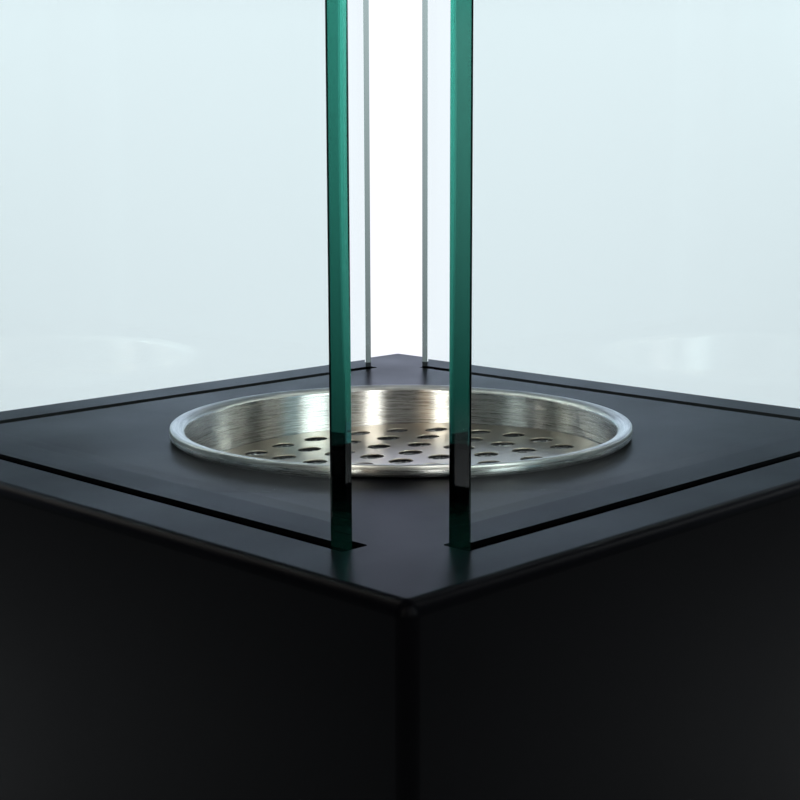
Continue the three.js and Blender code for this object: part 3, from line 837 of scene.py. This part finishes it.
def make_wool():
    """The fibre pad: rounded at its edge, lumpy on top, and leaning as the plate on it does."""
    floor = cup_low.z + CUP_SHEET
    top = TOP - DISC_DROP - DISC_SHEET - WOOL_GAP
    fold = CUP_BOTTOM_FOLD
    profile = [(0, floor), (WOOL_RADIUS / 2, floor)]
    profile += arc(WOOL_RADIUS - fold, floor + fold, fold, -90, 0, 8)
    profile += arc(WOOL_RADIUS - WOOL_EDGE, top - WOOL_EDGE, WOOL_EDGE, 0, 90, 14)
    flat = WOOL_RADIUS - WOOL_EDGE
    profile += [(flat * (1 - i / WOOL_RINGS), top) for i in range(1, WOOL_RINGS + 1)]
    wool = revolve("fibre_pad", profile, WOOL, 256)
    lean = -math.tan(DISC_TILT)
    for vertex in wool.data.vertices:
        place = vertex.co.copy()
        share = (place.z - floor) / (top - floor)
        lumps = 0.5 + 0.5 * noise.fractal(place * WOOL_LUMPS_PER_METRE, 0.8, 2.0, 4)
        tufts = abs(noise.noise(place * WOOL_TUFTS_PER_METRE))
        sink = WOOL_LUMP * min(1.0, max(0.0, lumps)) + WOOL_TUFT * tufts
        vertex.co.z -= sink * min(1.0, max(0.0, (place.z - top + WOOL_EDGE) / WOOL_EDGE))
        towards = place.x * math.cos(DISC_TILT_TOWARDS)
        towards += place.y * math.sin(DISC_TILT_TOWARDS)
        vertex.co.z += share * lean * towards
    wool.data.update()
    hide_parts("ceramic_wool")
    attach(wool, "burner")


make_wool()

# ------------------------------------------------------------------ parts in and under the casing


def stand_for(piece, node):
    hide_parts(node)
    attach(piece, "base")
    return piece


def repeat(pattern, nodes, places):
    """Puts a copy of the pattern at each place, for one node each, and deletes the pattern."""
    for node, place in zip(nodes, places):
        copy = new_object(f"{node}_made", pattern.data.copy())
        stand_for(moved(copy, place), node)
    bpy.data.objects.remove(pattern)


def thread(radius, start, end):
    """The saw-tooth outline of a thread, from start to end."""
    steps = int(abs(end - start) / (THREAD_PITCH / 2))
    points = []
    for i in range(steps + 1):
        points.append((radius - (i % 2) * THREAD_DEPTH, start + (end - start) * i / steps))
    return points


def make_screw(length):
    """A pan-head screw driven upwards, with a cross recess. Its head's seat is at height zero."""
    head, seat = SCREW_HEAD_RADIUS, SCREW_HEAD_EDGE
    profile = [(0, -SCREW_HEAD_HEIGHT)]
    profile += arc(head - SCREW_CROWN, SCREW_CROWN - SCREW_HEAD_HEIGHT, SCREW_CROWN, -90, 0, 8)
    profile += [(head, -seat), (head - seat, 0)]
    profile += thread(SCREW_RADIUS, 0, length - SCREW_TIP_LENGTH)
    profile += [(SCREW_RADIUS - SCREW_TIP_TAPER, length), (0, length)]
    screw = revolve("screw", profile, ZINC, 40)
    arm = rounded_outline(RECESS_HALF_LENGTH, RECESS_HALF_WIDTH, RECESS_CORNER, 3)
    heights = (-SCREW_HEAD_HEIGHT - MM, RECESS_DEPTH - SCREW_HEAD_HEIGHT)
    return cut(screw, [turned(slab("arm", arm, *heights), turn) for turn in (0, 90)])


def corner_places():
    signs = ((-1, -1), (1, -1), (1, 1), (-1, 1))
    return [(sx * FOOT_OFFSET, sy * FOOT_OFFSET) for sx, sy in signs]


def make_foot():
    sole, shoulder = FOOT_SOLE_EDGE, FOOT_SHOULDER_EDGE
    recess, corner = FOOT_RECESS_RADIUS, FOOT_RECESS_CORNER
    bore = SCREW_RADIUS + SCREW_CLEARANCE
    profile = [(recess + FOOT_RECESS_LIP, 0), *FOOT_GROOVE]
    profile += arc(FOOT_SOLE_RADIUS, sole, sole, -90, -FOOT_DRAFT, 6)
    profile += arc(
        FOOT_SHOULDER_RADIUS, FOOT_HEIGHT - shoulder, shoulder, -FOOT_DRAFT, 90, 8,
    )
    profile += [
        (bore, FOOT_HEIGHT),
        (bore, FOOT_RECESS),
        (recess - corner, FOOT_RECESS),
        (recess, FOOT_RECESS - corner),
        (recess, FOOT_RECESS_LIP),
    ]
    return revolve("foot", profile, RUBBER, 96)


def make_rivet():
    grip = TRAY_SHEET + SHEET
    tail, tail_height = RIVET_TAIL_RADIUS, RIVET_TAIL_HEIGHT
    profile = [(0, -grip - tail_height)]
    profile += [(tail * math.sin(a), -grip - tail_height * math.cos(a)) for a in RIVET_STEPS[1:]]
    profile += [(tail, -grip), (RIVET_RADIUS, -grip), (RIVET_RADIUS, 0)]
    profile += [
        (RIVET_HEAD_RADIUS * math.cos(a), RIVET_HEAD_HEIGHT * math.sin(a)) for a in RIVET_STEPS
    ]
    profile += [(0, RIVET_HEAD_HEIGHT)]
    return revolve("rivet", profile, ZINC, 40)


def rivet_places():
    for i in range(3):
        yield RIVET_CIRCLE * math.cos(i * 120 * DEGREE), RIVET_CIRCLE * math.sin(i * 120 * DEGREE)


def seats(places, height):
    return [Matrix.Translation((x, y, height)) for x, y in places]


def make_bottom():
    low = CASING_BOTTOM - SHEET
    outline = rounded_outline(PLATE_SIDE, PLATE_SIDE, PLATE_CORNER, 8)
    plate = slab("bottom_cover", outline, low, low + SHEET, POWDER_COAT)
    places = [*plate_screw_places(), *corner_places(), *rivet_places()]
    cut(plate, [drill(x, y, low - SHEET, low + 2 * SHEET) for x, y in places])
    stand_for(soften(plate, PLATE_EDGE), "bottom_plate")
    nodes = [f"plate_screw_{i}" for i in range(1, 9)]
    places = seats(plate_screw_places(), low)
    repeat(make_screw(PLATE_SCREW_LENGTH), nodes, places)
    corners = ("front_left", "front_right", "back_right", "back_left")
    nodes = [f"foot_screw_{corner}" for corner in corners]
    places = seats(corner_places(), FOOT_RECESS)
    repeat(make_screw(FOOT_SCREW_LENGTH), nodes, places)
    nodes = [f"foot_{corner}" for corner in corners]
    repeat(make_foot(), nodes, seats(corner_places(), 0))


def make_tray():
    section = (
        SheetSection(0, CASING_BOTTOM + TRAY_SHEET / 2, 0)
        .straight(TRAY_RADIUS - TRAY_FOLD)
        .bend(TRAY_FOLD, 90, 8)
        .straight(TRAY_WALL - TRAY_FOLD)
        .bend(TRAY_HEM_RADIUS, -180, 16)
    )
    tray = revolve("pressed_tray", section.outline(TRAY_SHEET), ZINC)
    cut(tray, [drill(x, y, *THROUGH_FLANGE) for x, y in rivet_places()])
    stand_for(tray, "spill_tray")
    nodes = [f"tray_rivet_{i}" for i in (1, 2, 3)]
    repeat(make_rivet(), nodes, seats(rivet_places(), CASING_BOTTOM + TRAY_SHEET))


def make_collar():
    wall_line = BURNER_HOLE_RADIUS + COLLAR_GAP + COLLAR_SHEET / 2
    flange_end = wall_line + COLLAR_FOLD + COLLAR_FLANGE
    section = (
        SheetSection(flange_end, UNDER_TOP - COLLAR_SHEET / 2, 180)
        .straight(COLLAR_FLANGE)
        .bend(COLLAR_FOLD, 90, 8)
        .straight(COLLAR_DEPTH)
    )
    collar = revolve("flanged_collar", section.outline(COLLAR_SHEET), ZINC)
    stand_for(collar, "burner_collar")


def extruded(name, outline, length, material):
    """Draws an outline of Y and Z out along X."""
    rings = [[(x, y, z) for y, z in outline] for x in (-length / 2, length / 2)]
    return loft(name, rings, material)


def make_channel():
    floor_line = CHANNEL_FLOOR - CHANNEL_SHEET / 2
    flange_line = UNDER_TOP - CHANNEL_SHEET / 2
    outer_top = UNDER_TOP - CHANNEL_TOP_GAP
    section = (
        SheetSection(SLOT_OFFSET + CHANNEL_WALL_LINE, outer_top, -90)
        .straight(outer_top - floor_line - CHANNEL_FOLD)
        .bend(CHANNEL_FOLD, -90, 6)
        .straight(2 * (CHANNEL_WALL_LINE - CHANNEL_FOLD))
        .bend(CHANNEL_FOLD, -90, 6)
        .straight(flange_line - floor_line - 2 * CHANNEL_FOLD)
        .bend(CHANNEL_FOLD, 90, 6)
        .straight(CHANNEL_FLANGE)
    )
    channel = extruded("channel", section.outline(CHANNEL_SHEET), CHANNEL_LENGTH, POWDER_COAT)
    through = (UNDER_TOP - 2 * SHEET, UNDER_TOP + SHEET)
    cutters = [drill(x, STUD_OFFSET, *through) for x in (-STUD_SPREAD, STUD_SPREAD)]
    notch = (CHANNEL_LENGTH - CHANNEL_FLANGE_LENGTH) / 2
    inner_face = SLOT_OFFSET - CHANNEL_WALL_LINE - CHANNEL_SHEET / 2
    outline = rounded_outline(notch, CHANNEL_FLANGE, NOTCH_CORNER, 4)
    for end in (-1, 1):
        middle = (end * (CHANNEL_FLANGE_LENGTH / 2 + notch), inner_face - CHANNEL_FLANGE)
        heights = (UNDER_TOP - 2 * CHANNEL_FOLD, UNDER_TOP + 2 * CHANNEL_FOLD)
        cutters.append(slab("notch", shifted(outline, *middle), *heights))
    return cut(channel, cutters)


def make_glazing():
    outer, inner = GLAZING_WIDTH / 2, GLAZING_BORE / 2
    floor, top = CHANNEL_FLOOR, CHANNEL_FLOOR + GLAZING_HEIGHT
    half = [
        (outer - GLAZING_CHAMFER, floor),
        (outer, floor + GLAZING_CHAMFER),
        (outer, top - GLAZING_OUTER_LIP[1]),
        (outer - GLAZING_OUTER_LIP[0], top),
        (inner + GLAZING_INNER_LIP[0], top),
        (inner, top - GLAZING_INNER_LIP[1]),
        (inner, TOP - GLASS_BELOW_TOP),
    ]
    outline = half + [(-y, z) for y, z in reversed(half)]
    return extruded("glazing", shifted(outline, SLOT_OFFSET, 0), GLAZING_LENGTH, RUBBER)


def make_nut():
    corner = NUT_FLATS / math.sqrt(3)
    angles = [i * 60 * DEGREE for i in range(6)]
    outline = [(corner * math.cos(angle), corner * math.sin(angle)) for angle in angles]
    nut = slab("nut", outline, 0, NUT_HEIGHT, ZINC)
    cut(nut, [drill(0, 0, -MM, NUT_HEIGHT + MM)])
    return soften(nut, NUT_EDGE, 2, 25 * DEGREE)


def make_stud():
    top, end = UNDER_TOP, UNDER_TOP - STUD_LENGTH
    profile = [(0, top), (SCREW_RADIUS, top)]
    profile += thread(SCREW_RADIUS, top - STUD_NECK, end + STUD_TIP_LENGTH)
    profile += [(SCREW_RADIUS - STUD_TIP_TAPER, end), (0, end)]
    return revolve("stud", profile, ZINC, 32)


def make_slot_fittings():
    turns = [Matrix.Rotation(turn * DEGREE, 4, "Z") for turn in SIDES.values()]
    nodes = [f"glass_channel_{side}" for side in SIDES]
    repeat(make_channel(), nodes, turns)
    nodes = [f"glazing_strip_{side}" for side in SIDES]
    repeat(make_glazing(), nodes, turns)
    nodes = [f"channel_nut_{side}_{i}" for side in SIDES for i in (1, 2)]
    nut_height = UNDER_TOP - CHANNEL_SHEET - NUT_HEIGHT
    spots = [(-STUD_SPREAD, STUD_OFFSET), (STUD_SPREAD, STUD_OFFSET)]
    places = [turn @ seat for turn in turns for seat in seats(spots, nut_height)]
    repeat(make_nut(), nodes, places)
    places = [turn @ seat for turn in turns for seat in seats(spots, 0)]
    studs = join([moved(make_stud(), place) for place in places], "weld_studs")
    studs.data.materials.append(ZINC)
    tidy_mesh(studs.data, 30 * DEGREE)
    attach(studs, "base")


make_bottom()
make_tray()
make_collar()
make_slot_fittings()

# ------------------------------------------------------------------ floor, light and background

PALE = (1.04, 1.05, 1.12)
FLOOR_TONE = (0.80, 0.84, 0.86)
FLOOR_NEAR, FLOOR_FAR = 0.35, 1.0
FLOOR_REACH = 6.0
BACK_AZIMUTH = 45 * DEGREE

# Upright soft boxes round the burner: azimuth and half width in degrees, lowest and highest sine of
# the elevation, strength and colour. The brushed steel of the cup shows them as bands.
SOFT_BOXES = (
    (45, 11.0, 0.13, 0.30, 1.6, (0.95, 1.0, 1.3)),
    (273, 7.6, 0.10, 0.85, 10.0, (0.90, 0.98, 1.0)),
    (288, 5.0, 0.10, 0.85, 1.3, (0.45, 0.80, 1.0)),
    (241.3, 4.8, 0.10, 0.85, 9.5, (1.0, 0.98, 0.95)),
    (199.5, 4.2, 0.10, 0.85, 10.5, (1.0, 0.97, 0.90)),
    (209, 3.0, 0.04, 0.85, 0.9, (1.0, 0.66, 0.38)),
    (156, 6.0, 0.04, 0.85, 0.7, (0.82, 0.93, 1.0)),
    (97, 5.0, 0.34, 0.85, 5.0, (1.0, 0.95, 0.86)),
    (78, 5.0, 0.34, 0.85, 3.0, (0.80, 0.93, 1.0)),
    (301, 2.2, 0.34, 0.85, 2.0, (1.0, 0.95, 0.82)),
    (342, 4.0, 0.34, 0.85, 5.5, (0.95, 0.99, 1.0)),
)
BOX_SOFT_SIDES = (1.25, 0.75)
BOX_SOFT_FOOT = 0.04
BOX_SOFT_HEAD = 0.1

# What the surfaces mirror of the room, above and below a low horizon. A TURN is a range of how far
# a direction points to the back, from -1 to 1. WALL, HORIZON and RISE are sines of the elevation.
ROOM_TONE = (1.40, 1.64, 2.16)
ROOM_FRONT = 0.03
ROOM_TURN = (0.1, 0.8)
ROOM_ABOVE = 0.12
ROOM_WALL = (0.14, 0.39)
HORIZON = (0.07, 0.14)
LOW_TONE = (1.3, 1.52, 1.57)
LOW_FRONT, LOW_BACK = 0.06, 0.80
LOW_TURN = (-0.7, 1.0)
LOW_GROUND = 0.05
LOW_RISE = (-0.2, 0.08)
LOW_CURVE = 1.3

# What lights the matt surfaces.
SOFT_TONE = (0.93, 0.97, 1.0)
SOFT_FRONT, SOFT_BACK = 0.25, 0.75
SOFT_TURN = (-0.8, 0.8)
KEY_PLACE = (0.25, 0.25, 1.9)
KEY_TARGET = (0, 0, 0.1)
KEY_SIDE = 1.4
KEY_WATTS = 30


def make_floor():
    reach = FLOOR_REACH
    corners = [(-reach, -reach, 0), (reach, -reach, 0), (reach, reach, 0), (-reach, reach, 0)]
    ground = Shader("floor", FLOOR_TONE, 0.85)
    ground.set("IOR", 1.2)
    darker = tuple(0.97 * channel for channel in FLOOR_TONE)
    ground.into(ground.mix(ground.noise(14, detail=3.0), FLOOR_TONE, darker), "Base Color")
    away = ground.node("ShaderNodeVectorMath", {0: ground.place}, operation="LENGTH")
    share = ground.span(away.outputs["Value"], FLOOR_NEAR, FLOOR_FAR)
    clear = ground.node("ShaderNodeBsdfTransparent").outputs[0]
    fade = ground.node("ShaderNodeMixShader", {0: share, 1: ground.bsdf.outputs[0], 2: clear})
    ground.link(fade.outputs[0], ground.tree.nodes["Material Output"].inputs["Surface"])
    add_mesh("floor", corners, [(0, 1, 2, 3)], ground.material)


def make_world():
    world = bpy.data.worlds.new("studio")
    world.use_nodes = True
    bpy.context.scene.world = world
    world.node_tree.nodes.clear()
    w = Nodes(world.node_tree)

    def product(first, *others):
        for other in others:
            first = w.math("MULTIPLY", first, other)
        return first

    def background(color, strength):
        inputs = {"Color": (*color, 1.0), "Strength": strength}
        return w.node("ShaderNodeBackground", inputs).outputs[0]

    def added(first, second):
        return w.node("ShaderNodeAddShader", {0: first, 1: second}).outputs[0]

    def mixed(share, first, second):
        return w.node("ShaderNodeMixShader", {0: share, 1: first, 2: second}).outputs[0]

    direction = w.node("ShaderNodeTexCoord").outputs["Generated"]
    axes = w.node("ShaderNodeSeparateXYZ", {"Vector": direction}).outputs
    height = axes["Z"]
    azimuth = w.math("ARCTAN2", axes["Y"], axes["X"])
    to_back = w.math(
        "ADD",
        product(axes["X"], math.cos(BACK_AZIMUTH)),
        product(axes["Y"], math.sin(BACK_AZIMUTH)),
    )
    upper = product(
        w.ramp(to_back, *ROOM_TURN, ROOM_FRONT, 1.0),
        w.ramp(height, *ROOM_WALL, 1.0, ROOM_ABOVE),
        w.ramp(height, *HORIZON),
    )
    rise = w.span(height, *LOW_RISE, LOW_GROUND, 1.0)
    lower = product(
        w.span(to_back, *LOW_TURN, LOW_FRONT, LOW_BACK),
        w.math("POWER", rise, LOW_CURVE),
        w.ramp(height, *reversed(HORIZON)),
    )
    mirrored = added(background(ROOM_TONE, upper), background(LOW_TONE, lower))
    for degrees, half, low, high, strength, color in SOFT_BOXES:
        turn = w.math("SUBTRACT", azimuth, degrees * DEGREE)
        apart = w.math("ABSOLUTE", w.math("WRAP", turn, math.pi, -math.pi))
        shape = product(
            w.ramp(apart, *(half * DEGREE * share for share in BOX_SOFT_SIDES)),
            w.ramp(height, low - BOX_SOFT_FOOT, low + BOX_SOFT_FOOT),
            w.ramp(height, high + BOX_SOFT_HEAD, high - BOX_SOFT_HEAD),
        )
        mirrored = added(mirrored, background(color, product(shape, strength)))
    soft = background(SOFT_TONE, w.ramp(to_back, *SOFT_TURN, SOFT_FRONT, SOFT_BACK))
    path = w.node("ShaderNodeLightPath").outputs
    straight = w.math("LESS_THAN", path["Glossy Depth"], 0.5)
    through = product(path["Is Transmission Ray"], straight)
    seen = w.math("ADD", path["Is Camera Ray"], through, clamp=True)
    sharp = w.math("ADD", path["Is Glossy Ray"], path["Is Transmission Ray"], clamp=True)
    show = mixed(seen, mixed(sharp, soft, mirrored), background(PALE, 1.0))
    w.node("ShaderNodeOutputWorld", {"Surface": show})


def area_light(name, place, target, side, watts):
    data = bpy.data.lights.new(name, "AREA")
    data.shape = "RECTANGLE"
    data.size = data.size_y = side
    data.energy = watts
    lamp = new_object(name, data)
    lamp.location = place
    lamp.visible_glossy = False
    lamp.rotation_mode = "QUATERNION"
    lamp.rotation_quaternion = (Vector(target) - Vector(place)).to_track_quat("-Z", "Y")


make_floor()
make_world()
area_light("key", KEY_PLACE, KEY_TARGET, KEY_SIDE, KEY_WATTS)

# Light is reflected many times between the faces of a panel before it leaves by an edge.
BOUNCES = 40
cycles = bpy.context.scene.cycles
cycles.max_bounces = cycles.transmission_bounces = cycles.glossy_bounces = BOUNCES

bpy.context.scene.view_settings.view_transform = "Standard"
